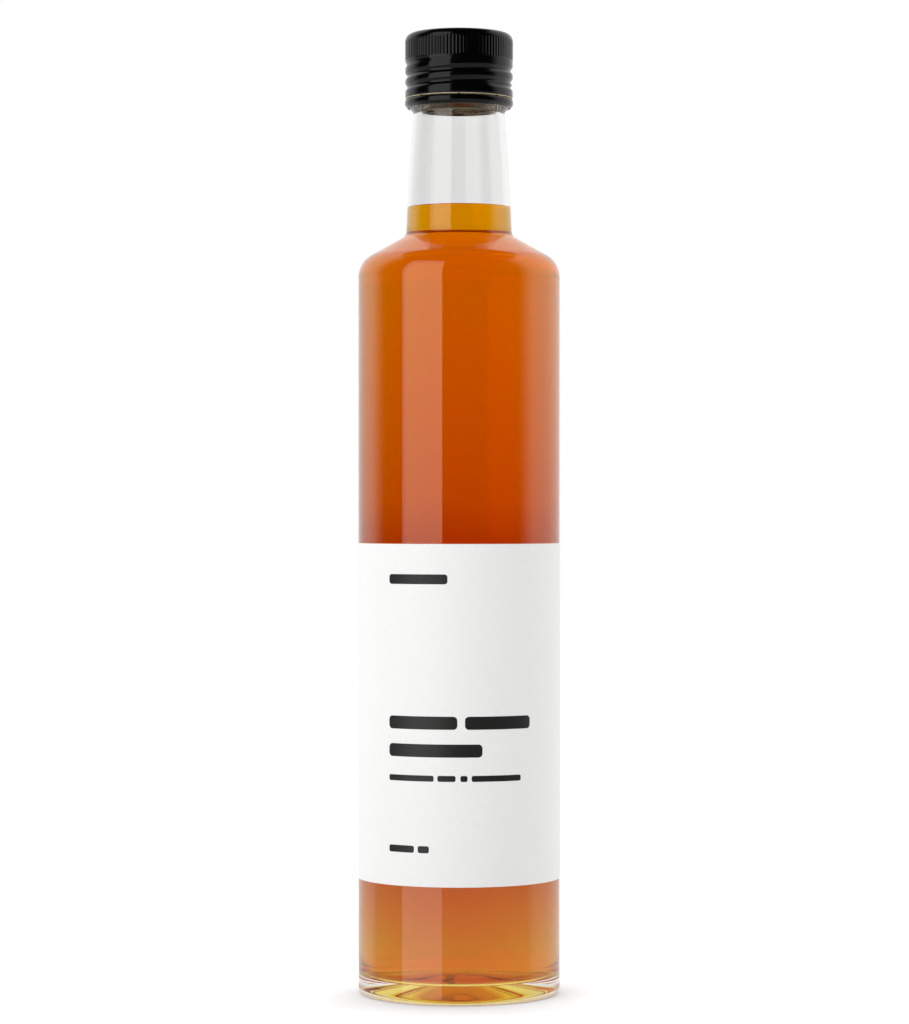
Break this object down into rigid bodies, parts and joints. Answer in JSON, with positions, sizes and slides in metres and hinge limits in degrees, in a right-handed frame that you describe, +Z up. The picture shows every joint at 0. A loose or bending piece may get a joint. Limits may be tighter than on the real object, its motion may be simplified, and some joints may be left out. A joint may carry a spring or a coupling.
{
  "type": "vinegar bottle",
  "caption": "Tall round clear glass bottle of amber vinegar with a sloped shoulder, a plain white wrap-round label, and a black knurled screw cap with its tamper band.",
  "frame": {"origin": "centre of the bottle's foot, on the surface it stands on", "axes": "+Z up along the bottle's axis, -Y towards the middle of the label's front"},
  "size_m": [0.0592, 0.0591, 0.2802],
  "materials": {
    "bottle_glass": "clear flint glass, blown, fire polished",
    "vinegar": "amber liquid, slightly cloudy",
    "label_paper": "smooth white paper with a satin coat",
    "cap_lacquer": "gloss black lacquer on drawn aluminium"
  },
  "bodies": {
    "root": {"glass_bottle": "bottle_glass", "vinegar": "vinegar", "label": "label_paper", "cap": "cap_lacquer", "tamper_band": "cap_lacquer"}
  },
  "joints": []
}
